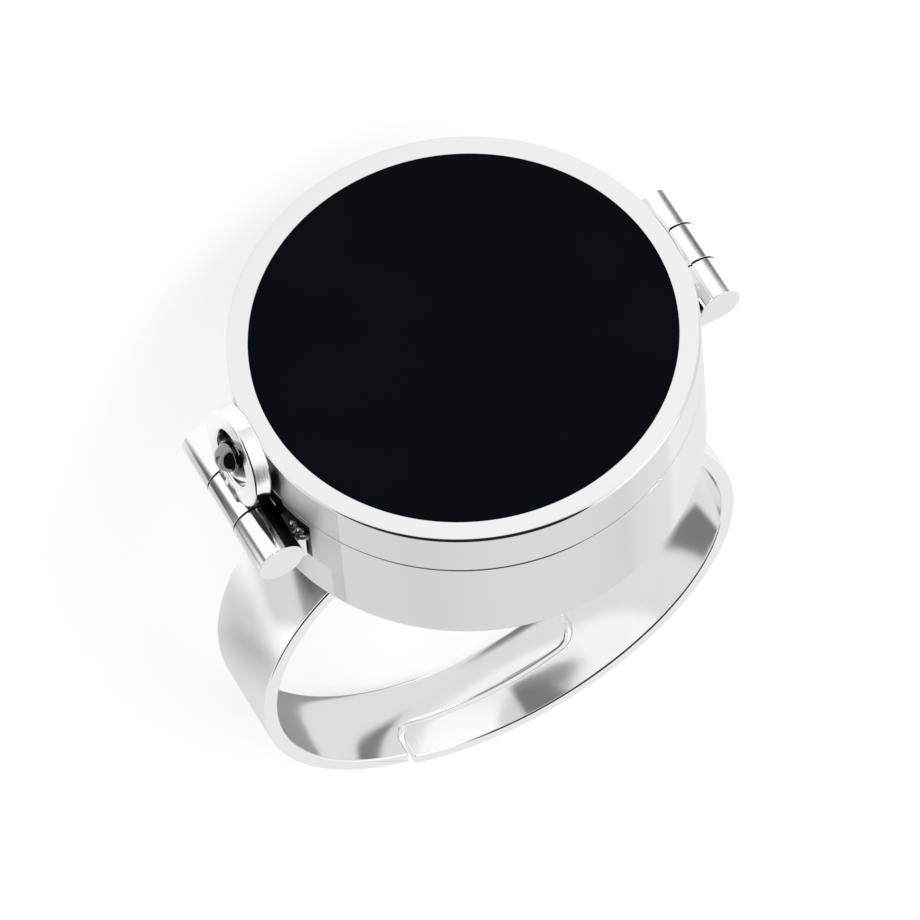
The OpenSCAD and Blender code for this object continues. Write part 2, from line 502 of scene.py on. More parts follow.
@dataclass(frozen=True)
class SteelFinish:
    """Stainless steel with fine wear.

    Colours are linear, and roughness runs from low to high over cloudy patches, which are a few
    grains wide and a little darker where it is lowest. Scratches is how strongly the fine lines
    show. A point may be given, in millimetres, round which the steel is painted dark as painted
    shade.
    """

    name: str
    colour: tuple[float, float, float] = (0.79, 0.79, 0.792)
    low: float = 0.05
    high: float = 0.12
    scratches: float = 0.02
    grain_mm: float = 0.6
    patch_grains: float = 4
    patch_shade: float = 0.985
    line_grains: float = 0.1
    line_mm: float = 0.02
    line_stretch: tuple[float, float, float] = (1.0, 0.08, 1.0)
    line_turn: tuple[float, float, float] = (0.35, 0.05, 0.6)
    # Painted shade: a dark spot painted into the steel round a point, with its radius, fade and
    # colour.
    shade_spot: Optional[tuple[float, float, float]] = None
    shade_spot_r: float = 1.5
    shade_spot_fade: float = 0.6
    shade_spot_colour: tuple[float, float, float] = (0.03, 0.03, 0.032)

    def make(self) -> bpy.types.Material:
        """Builds the material.

        Returns:
            The material.
        """
        nodes = Nodes(self.name)
        where = nodes.add("TexCoord", {}).outputs["Object"]
        patch_scale = 1.0 / (self.grain_mm * self.patch_grains * MM)
        patches = nodes.add("TexNoise", {"Vector": where, "Scale": patch_scale, "Detail": 4.0})
        tint = {
            "A": (*(self.patch_shade * c for c in self.colour), 1.0),
            "B": (*self.colour, 1.0),
            "Factor": patches.outputs["Fac"],
        }
        colour = nodes.add("Mix", tint, data_type="RGBA").outputs["Result"]
        if self.shade_spot:
            colour = self.paint_shade_spot(nodes, where, colour)
        wear = {"From Min": 0.3, "From Max": 0.7, "To Min": self.low, "To Max": self.high}
        rough = nodes.add("MapRange", {"Value": patches.outputs["Fac"], **wear})
        grain = {"Vector": where, "Scale": self.line_stretch, "Rotation": self.line_turn}
        stretched = nodes.add("Mapping", grain).outputs["Vector"]
        line_scale = 1.0 / (self.grain_mm * self.line_grains * MM)
        lines = nodes.add("TexNoise", {"Vector": stretched, "Scale": line_scale, "Detail": 3.0})
        depth = {"Strength": self.scratches, "Distance": self.line_mm * MM}
        bump = nodes.add("Bump", {"Height": lines.outputs["Fac"], **depth})
        surface = {
            "Metallic": 1.0,
            "Base Color": colour,
            "Roughness": rough.outputs["Result"],
            "Normal": bump.outputs["Normal"],
        }
        nodes.feed(nodes.shader, surface)
        return nodes.material

    def paint_shade_spot(
        self, nodes: Nodes, where: bpy.types.NodeSocket, colour: bpy.types.NodeSocket
    ) -> bpy.types.NodeSocket:
        """Paints shade into the colour round the given point.

        Args:
            nodes: the finish's nodes.
            where: its texture coordinates.
            colour: the clean colour.

        Returns:
            The colour with the painted shade.
        """
        middle = REST.in_metres() @ Vector(self.shade_spot)
        far = nodes.add("VectorMath", {0: where, 1: middle}, operation="DISTANCE")
        edge = {
            "Value": far.outputs["Value"],
            "From Min": self.shade_spot_r * MM,
            "From Max": (self.shade_spot_r + self.shade_spot_fade) * MM,
        }
        fade = nodes.add("MapRange", edge, interpolation_type="SMOOTHSTEP")
        mix = {"A": (*self.shade_spot_colour, 1.0), "B": colour, "Factor": fade.outputs["Result"]}
        return nodes.add("Mix", mix, data_type="RGBA").outputs["Result"]


@dataclass(frozen=True)
class InlayFinish:
    """Glossy black of the lid's disc, with patches that differ a little."""

    name: str = "gloss_black_inlay"
    deep: tuple[float, float, float] = (0.0012, 0.0019, 0.0036)
    pale: tuple[float, float, float] = (0.0024, 0.0034, 0.0056)
    low: float = 0.064
    high: float = 0.104
    shine: float = 0.015
    patch_mm: float = 5.0

    def make(self) -> bpy.types.Material:
        """Builds the material.

        Returns:
            The material.
        """
        nodes = Nodes(self.name)
        where = nodes.add("TexCoord", {}).outputs["Object"]
        patches = nodes.add("TexNoise", {"Vector": where, "Scale": 1.0 / (self.patch_mm * MM)})
        tint = {"A": (*self.deep, 1.0), "B": (*self.pale, 1.0), "Factor": patches.outputs["Fac"]}
        colour = nodes.add("Mix", tint, data_type="RGBA")
        wear = {"Value": patches.outputs["Fac"], "To Min": self.low, "To Max": self.high}
        rough = nodes.add("MapRange", wear)
        surface = {
            "Specular IOR Level": self.shine,
            "Base Color": colour.outputs["Result"],
            "Roughness": rough.outputs["Result"],
        }
        nodes.feed(nodes.shader, surface)
        return nodes.material


class Finishes:
    """The finishes of the ring, each made once."""

    def __init__(self) -> None:
        """Makes the materials."""
        # These are all one steel. Each piece's colour is set lighter or darker as painted light
        # and shade, so that its reflections come out at the brightness wanted.
        self.polished = SteelFinish("polished_steel").make()
        self.band = SteelFinish("band_steel", (0.97, 0.97, 0.972)).make()
        self.barrel = SteelFinish("barrel_steel", (0.91, 0.91, 0.912), 0.08, 0.16, 0.05).make()
        self.plate = SteelFinish("plate_steel", (0.96, 0.96, 0.962), 0.06, 0.12).make()
        # The ball's steel is painted dark, as a painted dark reflection.
        self.ball = SteelFinish("ball_steel_painted_dark", (0.28, 0.28, 0.285), 0.03, 0.06).make()
        # Near-black steel. It is painted shade in the gaps between barrels and wall and behind the
        # clasp.
        self.painted_shade = SteelFinish("painted_shade_steel", (0.035, 0.035, 0.038), 0.25, 0.45, 0.2).make()
        self.satin = SteelFinish("satin_steel", (0.74, 0.74, 0.742), 0.42, 0.55, 0.2).make()
        # A dark spot is painted round the ball's foot on the lid's wall, as the painted shade of
        # the hasp's plate.
        foot = (-8.7, 0.15, -0.95)
        self.spot_shaded = SteelFinish(
            "spot_shaded_steel", low=0.25, high=0.4, scratches=0.1, shade_spot=foot
        ).make()
        self.solder = SteelFinish("solder", (0.8, 0.8, 0.8), 0.18, 0.4, 0.5, 0.25).make()
        self.inlay = InlayFinish().make()


@dataclass
class Barrel:
    """One of the two barrels of knuckles, with the pin hole through it.

    Its axis runs through x and z along the finger, and its middle lies at middle. Side is 1 where
    the box lies towards +X and -1 where it lies towards -X. Outer_block is the lowest and highest
    side of the outer knuckles' blocks, from the axis, block is how far all blocks reach from it,
    and block_back is how far they stay behind the knuckles' ends. The pins' holes end a cap's
    width before the barrel's ends. Past an angle, in degrees from the top towards the box, the
    barrel's side takes a near-black finish, which is painted shade between the barrel and the
    wall, and so do most faces of its blocks. Shell is how far inside and outside the radius a face
    counts as the barrel's, and end_shell says so for its ends, as a share of the radius.
    """

    name: str
    x: float
    z: float
    r: float
    length: float
    middle: float
    side: int
    outer_block: tuple[float, float]
    seam_turn: float = 23.0
    # Past this angle, in degrees, the barrel's side is painted near black, as painted shade
    # towards the wall.
    painted_shade_from: float = 200.0
    block_back: float = 0.01
    block: float = 1.2
    gap: float = 0.035
    cap: float = 0.45
    bore_r: float = 0.38
    seam: float = 0.08
    edge: float = 0.02
    shell: tuple[float, float] = (0.012, 0.01)
    end_shell: float = 1.02
    box_inner_r: float = 8.15

    @property
    def third(self) -> float:
        """Length of a knuckle with its gap."""
        return self.length / 3

    def rod(self, name: str, r: float, low: float, high: float, sides: int) -> Piece:
        """Adds a cylinder round the barrel's axis, between two places along the finger."""
        return Bench.cylinder(name, r, low, high, (self.x, self.z), Along.FINGER, sides)

    def cylinder(self, name: str, low: float, high: float) -> Piece:
        """Models one knuckle as a plain cylinder with rounded ends.

        Args:
            name: its name.
            low: where it starts along the finger.
            high: where it ends along the finger.

        Returns:
            The cylinder.
        """
        piece = self.rod(name, self.r, low, high, BARREL_SIDES)
        with Bench.shaping(piece):
            Bench.choose(
                piece, Pick.EDGE, lambda e: abs(e.verts[0].co.y - e.verts[1].co.y) < CLOSE
            )
            Bench.round_off(self.edge, 2)
        return piece

    def knuckle(self, name: str, low: float, high: float, block: tuple[float, float]) -> Piece:
        """Models one knuckle with the seam line of its rolled metal.

        Args:
            name: its name.
            low: where it starts along the finger.
            high: where it ends along the finger.
            block: lowest and highest side of the block that joins it to the wall, from the axis.

        Returns:
            The knuckle.
        """
        piece = self.cylinder(name, low, high)
        turn = math.radians(self.seam_turn)
        slot = Bench.block(
            "slot",
            (-self.seam / 2, low - 1, self.r - self.seam),
            (self.seam / 2, high + 1, self.r + 1),
        )
        axis = Matrix.Translation((self.x, 0, self.z))
        slot.data.transform(axis @ Matrix.Rotation(-turn, 4, "Y"))
        Bench.combine(piece, slot, Join.CUT)
        far = self.x + self.side * self.block
        web = Bench.block(
            "web",
            (min(self.x, far), low + self.block_back, self.z + block[0]),
            (max(self.x, far), high - self.block_back, self.z + block[1]),
        )
        Bench.combine(piece, web, Join.WELD)
        return piece

    def in_painted_shade(self, face: Face) -> bool:
        """Says whether a face lies on a block or on the side towards the wall, where shade is
        painted.

        Args:
            face: a face of a knuckle.

        Returns:
            Whether it takes the painted shade finish.
        """
        middle = face.calc_center_median()
        x, z = middle.x - self.x, middle.z - self.z
        far = math.hypot(x, z)
        if abs(face.normal.y) > 0.5:
            return far > self.r * self.end_shell
        if far > self.r + self.shell[1]:
            return middle.y > 0.0 or face.normal.z < SQUARE_ON
        turned = self.side * math.degrees(math.atan2(x, z))
        return far > self.r - self.shell[0] and turned > self.painted_shade_from

    def bore(self, piece: Piece) -> None:
        """Drills the pin's hole into a piece.

        Args:
            piece: the piece.
        """
        reach = self.length / 2 - self.cap
        low, high = self.middle - reach, self.middle + reach
        Bench.combine(piece, self.rod("drill", self.bore_r, low, high, PIN_SIDES), Join.CUT)

    def clear_of_cavity(self, piece: Piece) -> None:
        """Cuts off what would stand into the box's hollow."""
        hollow = Bench.cylinder("hollow", self.box_inner_r, -FAR, FAR)
        Bench.combine(piece, hollow, Join.CUT)

    def outer_knuckles(self) -> Piece:
        """Models the two knuckles that are fixed to the box.

        Returns:
            Both, as one object.
        """
        made = []
        front = self.middle - 1.5 * self.third
        rear = self.middle + self.third / 2 + self.gap
        for low in (front, rear):
            high = low + self.third - self.gap
            one = self.knuckle(f"{self.name}_outer_knuckles", low, high, self.outer_block)
            self.bore(one)
            self.clear_of_cavity(one)
            made.append(one)
        return Bench.merge(*made)

    def relief(self, low: float, high: float) -> Piece:
        """Makes the cutter that clears a wall for the barrel, with a small gap."""
        return self.rod("relief", self.r + ROOM, low, high, BARREL_SIDES)


@dataclass
class RoundBox:
    """The cup of the box, its lid and the black disc.

    The cup's wall is parted at corner_top and a little under the clasp, on its side past
    parted_from, so that its finishes can meet there. Skin is how near the outside a face of the
    wall lies. The zones say where each finish of the corner behind the clasp starts and ends along
    the finger, and its dark finishes are painted shade.
    """

    hinge: Barrel
    clasp: Barrel
    corner_top: float = -2.45
    parted_from: float = -7.9
    parted_under: float = 0.02
    skin: float = 0.2
    satin_zone: tuple[float, float] = (-4.3, -1.6)
    # Zones behind the clasp where shade is painted: near black on the cup, and a dark spot on the
    # lid.
    low_zone: tuple[float, float] = (-3.15, 2.9)
    dark_zone: tuple[float, float] = (-1.6, 2.9)
    spot_shaded_zone: tuple[float, float] = (-1.6, 2.4)
    r: float = 8.75
    height: float = 6.65
    wall: float = 0.6
    floor: float = 0.5
    lid_h: float = 2.1
    seam: float = 0.05
    low_edge: float = 0.15
    top_edge: float = 0.1
    seam_edge: float = 0.05
    inlay_r: float = 7.92
    inlay_t: float = 0.4
    inlay_gap: float = 0.02
    web: float = 0.3
    ball_r: float = 0.58
    ball_out: float = 0.95
    ball_down: float = 0.72
    ball_y: float = 0.1
    neck_r: float = 0.33
    lid_block: tuple[float, float] = (-0.1, 0.64)

    def behind_clasp(self, face: Face, zone: tuple[float, float], top: float = 0.0) -> bool:
        """Says whether a face of the wall lies in a zone behind the clasp, where shade is painted.

        Args:
            face: a face of the cup or the lid.
            zone: where the zone starts and ends along the finger.
            top: its upper end.

        Returns:
            Whether it takes the zone's finish, satin or painted shade.
        """
        middle = face.calc_center_median()
        if abs(face.normal.z) > 0.3 or math.hypot(middle.x, middle.y) < self.r - self.skin:
            return False
        bottom = self.clasp.z - self.clasp.r
        return middle.x < 0.0 and zone[0] < middle.y < zone[1] and bottom < middle.z < top

    def parted(self, face: Face) -> bool:
        """Says whether a face belongs to the part of the cup's wall that is parted.

        Args:
            face: a face of the cup.

        Returns:
            Whether it does.
        """
        middle = face.calc_center_median()
        beside = middle.x < self.parted_from and middle.length > self.r - self.skin
        return beside and abs(face.normal.z) < 0.1

    def cup(self) -> Piece:
        """Models the lower half of the box.

        Returns:
            The cup.
        """
        top = -self.lid_h - self.seam
        cup = Bench.cylinder("case_cup", self.r, -self.height, top)
        with Bench.shaping(cup):
            Bench.choose(cup, Pick.FACE, lambda f: f.normal.z > SQUARE_ON)
            Bench.sink(-(top + self.height - self.floor), self.wall)
        for barrel in (self.hinge, self.clasp):
            half = barrel.third / 2
            cutter = barrel.relief(barrel.middle - half, barrel.middle + half)
            Bench.combine(cup, cutter, Join.CUT)
        with Bench.shaping(cup):
            Bench.choose_ring(cup, self.r, -self.height)
            Bench.round_off(self.low_edge, 5)
        Bench.finish_edges(cup, self.seam_edge * 0.6)
        with Bench.shaping(cup):
            for z in (self.clasp.z - self.clasp.r - self.parted_under, self.corner_top):
                Bench.choose(cup, Pick.FACE, self.parted)
                bpy.ops.mesh.bisect(plane_co=(0.0, 0.0, z), plane_no=(0.0, 0.0, 1.0))
        Bench.smooth(cup)
        return cup

    def lid(self) -> Piece:
        """Models the cap with its bezel rim.

        Returns:
            The cap.
        """
        lid = Bench.cylinder("lid_cap", self.r, -self.lid_h, 0.0)
        with Bench.shaping(lid):
            Bench.choose(lid, Pick.FACE, lambda f: f.normal.z > SQUARE_ON)
            Bench.sink(-self.inlay_t, self.r - self.inlay_r - self.inlay_gap)
            Bench.choose(lid, Pick.FACE, lambda f: f.normal.z < -SQUARE_ON)
            Bench.sink(self.lid_h - self.inlay_t - self.web, self.wall)
        Bench.combine(lid, self.hinge.relief(-self.hinge.length, self.hinge.length), Join.CUT)
        with Bench.shaping(lid):
            Bench.choose_ring(lid, self.r, 0.0)
            Bench.round_off(self.top_edge, 4)
        Bench.finish_edges(lid, self.seam_edge * 0.6)
        Bench.smooth(lid)
        return lid

    def inlay(self) -> Piece:
        """Models the black disc.

        Returns:
            The disc.
        """
        disc = Bench.cylinder("inlay_disc", self.inlay_r, -self.inlay_t, 0.0)
        with Bench.shaping(disc):
            Bench.choose_ring(disc, self.inlay_r, 0.0)
            Bench.round_off(0.03, 2)
        Bench.smooth(disc)
        return disc

    def ball_stud(self) -> Piece:
        """Models the ball that the hasp's eye snaps over, with its neck.

        Returns:
            The ball stud.
        """
        x = -(self.r + self.ball_out)
        y, z = self.ball_y, -self.ball_down
        Bench.clear()
        bpy.ops.mesh.primitive_uv_sphere_add(
            segments=64,
            ring_count=32,
            radius=self.ball_r,
            location=(x, y, z),
            rotation=Along.ACROSS.value,
        )
        ball = Bench.fresh("ball_stud")
        end = x + self.ball_out + self.wall / 2
        neck = Bench.cylinder("neck", self.neck_r, x, end, (y, z), Along.ACROSS, PIN_SIDES)
        Bench.combine(ball, neck, Join.WELD)
        Bench.smooth(ball)
        return ball

    def lid_knuckle(self) -> Piece:
        """Models the hinge's middle knuckle, which moves with the lid.

        Returns:
            The knuckle.
        """
        half = self.hinge.third / 2 - self.hinge.gap
        middle = self.hinge.middle
        knuckle = self.hinge.knuckle("lid_knuckle", middle - half, middle + half, self.lid_block)
        self.hinge.bore(knuckle)
        self.hinge.clear_of_cavity(knuckle)
        return knuckle


@dataclass
class Hasp:
    """The eye plate with its knuckle, drawn round the clasp's axis and then leaned inwards."""

    clasp: Barrel
    lean: float = 7.5
    eye_r: float = 1.92
    hole_r: float = 1.12
    up: float = 2.7
    shift: float = 0.25
    thick: float = 0.7
    out: float = 0.51
    stem_w: float = 1.4
    edge: float = 0.08
    bore: float = 3.0

    def plate(self) -> Piece:
        """Models the round plate with its eye.

        Returns:
            The plate, upright over the clasp's axis.
        """
        outer, inner = -self.out, self.thick - self.out
        middle = (self.shift, self.up)
        plate = Bench.cylinder(
            "hasp_eye", self.eye_r, outer, inner, middle, Along.ACROSS, PLATE_SIDES
        )
        with Bench.shaping(plate):
            Bench.choose(plate, Pick.FACE, lambda f: abs(f.normal.x) > SQUARE_ON)
            bpy.ops.mesh.inset(thickness=self.eye_r - self.hole_r, depth=0.0)
            bpy.ops.mesh.delete(type="FACE")
            Bench.choose(plate, Pick.EDGE, lambda e: e.is_boundary)
            bpy.ops.mesh.bridge_edge_loops()
        Bench.outward(plate)
        with Bench.shaping(plate):
            Bench.choose(plate, Pick.EDGE, lambda e: e.is_manifold and e.calc_face_angle() > 1.0)
            Bench.round_off(self.edge, 4)
        return plate

    def model(self) -> Piece:
        """Models the whole hasp.

        Returns:
            The hasp.
        """
        plate = self.plate()
        stem_top = self.up - self.hole_r - self.edge
        stem = Bench.block(
            "stem",
            (-self.out, self.shift - self.stem_w / 2, 0.0),
            (self.thick - self.out, self.shift + self.stem_w / 2, stem_top),
        )
        Bench.combine(plate, stem, Join.WELD)
        barrel = replace(self.clasp, x=0.0, z=0.0)
        half, far = barrel.third / 2 - barrel.gap, barrel.length
        for low, high in ((half, far), (-far, -half)):
            Bench.combine(plate, barrel.relief(low, high), Join.CUT)
        Bench.combine(plate, barrel.cylinder("knuckle", -half, half), Join.WELD)
        drill = barrel.rod("drill", barrel.bore_r, -self.bore, self.bore, PIN_SIDES)
        Bench.combine(plate, drill, Join.CUT)
        place = Matrix.Translation((self.clasp.x, self.clasp.middle, self.clasp.z))
        plate.data.transform(place @ Matrix.Rotation(math.radians(self.lean), 4, "Y"))
        Bench.smooth(plate)
        return plate


@dataclass
class Arm:
    """One arm of the band: its circle, how far it turns, and its end outline at the palm side.

    The outline's long edge lies at edge_y by the tip and at edge_y less slant by the notch. A
    flipped arm's end is drawn the other way round.
    """

    name: str
    centre: tuple[float, float]
    inner_r: float
    turn: float
    edge_y: float
    notch_x: float
    tip_x: float
    slant: float
    flip: bool


@dataclass
class Band:
    """The open adjustable band.

    Left and right are the clasp's side and the hinge's. The arms' circles have their own middles
    and inner radii, and their tongues their own widths, reaches past the band's middle and slant.
    The right notch is moved by right_lap. Lift is how far the right arm is bent towards the
    viewer at its notch, and lift_reach how far along the arm that fades out.
    """

    thick: float = 0.57
    top: float = -6.65
    low: float = -26.77
    w_top: float = 4.5
    w_end: float = 3.06
    tip_r: float = 0.75
    step: float = 2.0
    edge: float = 0.07
    aside: float = 0.69
    inner_r: float = 9.16
    right_inner_r: float = 9.09
    right_aside: float = 0.8
    right_below: float = 0.74
    left_tongue: float = 1.72
    right_tongue: float = 1.38
    left_reach: float = 4.1
    right_reach: float = 3.66
    tip_gap: float = 0.25
    right_slant: float = 0.36
    right_lap: float = -0.32
    lift: float = 1.11
    lift_reach: float = 13.4
    lift_span: tuple[float, float] = (-0.1, 0.9)
    wrap: float = 216.0
    sunk: float = 0.02
    spare_w: float = 1.0
    parted_out: float = 0.12
    parted_under: float = 2.0
    pad_half: tuple[float, float] = (2.6, 2.22)
    pad_low: float = -8.0
    pad_sunk: float = 0.1
    pad_edge: float = 0.05

    @property
    def centre(self) -> tuple[float, float]:
        """Middle of the left arm's circle."""
        return (-self.aside, self.top - self.inner_r - self.thick + self.sunk)

    @property
    def apart(self) -> float:
        """How far the middles of the two arms' circles lie from each other."""
        return math.hypot(self.right_aside, self.right_below)

    @property
    def meet(self) -> float:
        """Where the straight piece between the arms starts, in degrees past the top."""
        lean = math.acos((self.inner_r - self.right_inner_r) / self.apart)
        return math.degrees(math.atan2(self.right_aside, -self.right_below) - lean)

    @property
    def meet_len(self) -> float:
        """Length of the straight piece between the arms."""
        return math.sqrt(self.apart**2 - (self.inner_r - self.right_inner_r) ** 2)

    def strip(self, name: str, centre: tuple[float, float], inner_r: float, turn: float) -> Piece:
        """Spins a rectangular section into an arc of band.

        Args:
            name: its name.
            centre: the arc's middle, X and Z.
            inner_r: its inner radius.
            turn: how far it turns from the top, in degrees, positive towards the hinge.

        Returns:
            The arc.
        """
        Bench.clear()
        bpy.ops.mesh.primitive_plane_add(size=1.0)
        arc = Bench.fresh(name)
        middle = inner_r + self.thick / 2
        stand = Matrix.Translation((centre[0], 0, centre[1])) @ Matrix.Translation((0, 0, middle))
        stand = stand @ Matrix.Rotation(math.pi / 2, 4, "Y")
        section = Matrix.Diagonal((self.thick, self.w_top + self.spare_w, 1.0, 1.0))
        arc.data.transform(stand @ section)
        with Bench.shaping(arc):
            bpy.ops.mesh.select_all(action="SELECT")
            self.bend_on(centre, turn)
        Bench.outward(arc)
        return arc

    def bend_on(self, centre: tuple[float, float], turn: float) -> None:
        """Draws the chosen face on round a circle.

        The spin operator counts its angle the other way.

        Args:
            centre: the circle's middle, X and Z.
            turn: how far it goes, in degrees, positive towards the hinge.
        """
        bpy.ops.mesh.spin(
            steps=max(2, round(abs(turn) / self.step)),
            angle=-math.radians(turn),
            center=(centre[0], 0.0, centre[1]),
            axis=(0.0, 1.0, 0.0),
        )

    def end_cutter(self, arm: Arm) -> Piece:
        """Makes the prism that cuts an arm's end to its notch and tongue.

        Args:
            arm: the arm.

        Returns:
            The cutter.
        """

        def at(corner: Corner, x: float, y: float) -> bool:
            """Says whether a corner lies at a point."""
            return abs(corner.co.x - x) < CLOSE and abs(corner.co.y - y) < CLOSE

        def at_tip(corner: Corner) -> bool:
            """Says whether a corner lies level with the tip."""
            return abs(corner.co.x - arm.tip_x) < CLOSE

        def past_tip(corner: Corner) -> bool:
            """Says whether a corner lies on the long edge's line, at the tip or past it."""
            return abs(corner.co.y - arm.edge_y) < CLOSE and corner.co.x > arm.tip_x - CLOSE

        notch_y = arm.edge_y - arm.slant
        Bench.clear()
        bpy.ops.mesh.primitive_plane_add(size=1.0)
        cutter = Bench.fresh("end_cutter")
        wide = arm.tip_x - arm.notch_x
        tall = FAR + arm.edge_y
        cutter.data.transform(
            Matrix.Translation((arm.notch_x + wide / 2, arm.edge_y - tall / 2, 0.0))
            @ Matrix.Diagonal((wide, tall, 1.0, 1.0))
        )
        with Bench.shaping(cutter):
            Bench.choose(cutter, Pick.CORNER, lambda v: at(v, arm.notch_x, arm.edge_y))
            bpy.ops.transform.translate(value=(0.0, -arm.slant, 0.0))
            Bench.choose(cutter, Pick.EDGE, lambda e: all(at_tip(v) for v in e.verts))
            Bench.extrude((FAR, 0.0, 0.0))
            Bench.choose(cutter, Pick.EDGE, lambda e: all(past_tip(v) for v in e.verts))
            Bench.extrude((0.0, FAR, 0.0))
            bpy.ops.mesh.select_all(action="SELECT")
            bpy.ops.mesh.dissolve_limited(angle_limit=math.radians(1.0))
            Bench.choose(
                cutter,
                Pick.CORNER,
                lambda v: at(v, arm.tip_x, arm.edge_y) or at(v, arm.notch_x, notch_y),
            )
            bpy.ops.mesh.bevel(
                offset_type="OFFSET",
                offset=self.tip_r,
                segments=14,
                profile=0.5,
                affect="VERTICES",
            )
            bpy.ops.mesh.select_mode(type="FACE")
            bpy.ops.mesh.select_all(action="SELECT")
            Bench.extrude((0.0, 0.0, -FAR))
        Bench.outward(cutter)
        place = Matrix.Translation((self.centre[0], 0.0, self.centre[1]))
        if arm.flip:
            place = place @ Matrix.Rotation(math.pi, 4, "Z")
        cutter.data.transform(place)
        return cutter

    def arms(self) -> tuple[Arm, Arm]:
        """Gives the two arms.

        Returns:
            The left arm and the right one.
        """
        x, z = self.centre
        left = Arm(
            name="band_left",
            centre=(x, z),
            inner_r=self.inner_r,
            turn=-self.wrap,
            edge_y=self.w_end / 2 - self.left_tongue,
            notch_x=-(self.right_reach + self.tip_gap),
            tip_x=self.left_reach,
            slant=0.0,
            flip=False,
        )
        right = Arm(
            name="band_right",
            centre=(x + self.right_aside, z - self.right_below),
            inner_r=self.right_inner_r,
            turn=self.wrap - self.meet,
            edge_y=self.w_end / 2 - self.right_tongue,
            notch_x=self.right_lap - self.left_reach,
            tip_x=self.right_reach,
            slant=self.right_slant,
            flip=True,
        )
        return left, right

    def right_strip(self, arm: Arm) -> Piece:
        """Models the right arm, with the top's right quarter and the straight piece before it.

        Args:
            arm: the right arm.

        Returns:
            The strip.
        """
        strip = self.strip(arm.name, self.centre, self.inner_r, self.meet)
        turned = math.radians(self.meet)
        onwards = Vector((math.cos(turned), 0.0, -math.sin(turned)))
        with Bench.shaping(strip):
            self.choose_end(strip, self.centre, onwards)
            Bench.extrude(onwards * self.meet_len)
            self.bend_on(arm.centre, arm.turn)
        Bench.outward(strip)
        return strip

    @staticmethod
    def choose_end(strip: Piece, centre: tuple[float, float], normal: Vector) -> None:
        """Selects the end face of an arc whose plane goes through the arc's middle.

        Args:
            strip: a strip in edit mode.
            centre: the arc's middle, X and Z.
            normal: the end face's normal.
        """
        middle = Vector((centre[0], 0.0, centre[1]))

        def at_end(face: Face) -> bool:
            """Says whether a face lies in the end's plane."""
            square = abs(abs(face.normal.dot(normal)) - 1.0) < 1e-3
            return square and all(abs((v.co - middle).dot(normal)) < CLOSE for v in face.verts)

        Bench.choose(strip, Pick.FACE, at_end)

    def taper(self, strip: Piece) -> None:
        """Cuts a strip to the band's width, which shrinks evenly from the box to the palm side.

        Args:
            strip: the strip.
        """
        slope = (self.w_top - self.w_end) / 2 / (self.top - self.low)
        with Bench.shaping(strip):
            for side in (1.0, -1.0):
                bpy.ops.mesh.select_all(action="SELECT")
                bpy.ops.mesh.bisect(
                    plane_co=(0.0, side * self.w_top / 2, self.top),
                    plane_no=Vector((0.0, side, -slope)).normalized(),
                    use_fill=True,
                    clear_outer=True,
                    threshold=1e-5,
                )

    def part_tongue(self, strip: Piece, arm: Arm) -> None:
        """Parts an arm's faces beside its cut, so that the cut's corners don't spoil the shine.

        Args:
            strip: the arm's piece.
            arm: its measures.
        """
        beside = (arm.edge_y + self.parted_out) * (-1.0 if arm.flip else 1.0)
        low = self.centre[1] - self.parted_under
        with Bench.shaping(strip):
            Bench.choose(strip, Pick.FACE, lambda f: f.calc_center_median().z < low)
            bpy.ops.mesh.bisect(plane_co=(0.0, beside, 0.0), plane_no=(0.0, 1.0, 0.0))

    def bend(self, strip: Piece) -> None:
        """Bends the right arm's tongue towards the viewer until it lies level with the left one.

        Args:
            strip: the right arm.
        """
        x, z = self.centre
        low, high = (x + self.left_reach + span for span in self.lift_span)
        with Bench.shaping(strip):
            Bench.choose(strip, Pick.CORNER, lambda v: v.co.z < z and low < v.co.x < high)
            bpy.ops.transform.translate(
                value=TOWARDS_VIEWER * self.lift,
                use_proportional_edit=True,
                proportional_edit_falloff="SMOOTH",
                proportional_size=self.lift_reach,
            )

    def model(self) -> Piece:
        """Models the band.

        Returns:
            The band.
        """
        left, right = self.arms()
        made = []
        for arm in (left, right):
            if arm is left:
                strip = self.strip(arm.name, arm.centre, arm.inner_r, arm.turn)
            else:
                strip = self.right_strip(arm)
            self.taper(strip)
            Bench.combine(strip, self.end_cutter(arm), Join.CUT)
            self.part_tongue(strip, arm)
            if arm is right:
                self.bend(strip)
            with Bench.shaping(strip):
                self.choose_end(strip, self.centre, Vector((1.0, 0.0, 0.0)))
                bpy.ops.mesh.delete(type="FACE")
            made.append(strip)
        band = Bench.merge(*made)
        band.name = "band"
        Bench.outward(band)
        Bench.finish_edges(band, self.edge, 3)
        Bench.smooth(band)
        return band

    def pad(self) -> Piece:
        """Models the solder that fills the wedge between the band and the box floor.

        Returns:
            The solder.
        """
        x, z = self.centre
        wide, deep = self.pad_half
        pad = Bench.block(
            "solder_pad",
            (x - wide, -deep, self.pad_low),
            (x + wide, deep, self.top + self.pad_sunk),
        )
        r = self.inner_r + self.thick / 2
        drill = Bench.cylinder("drill", r, -self.w_top, self.w_top, (x, z), Along.FINGER)
        Bench.combine(pad, drill, Join.CUT)
        Bench.finish_edges(pad, self.pad_edge)
        Bench.smooth(pad)
        return pad


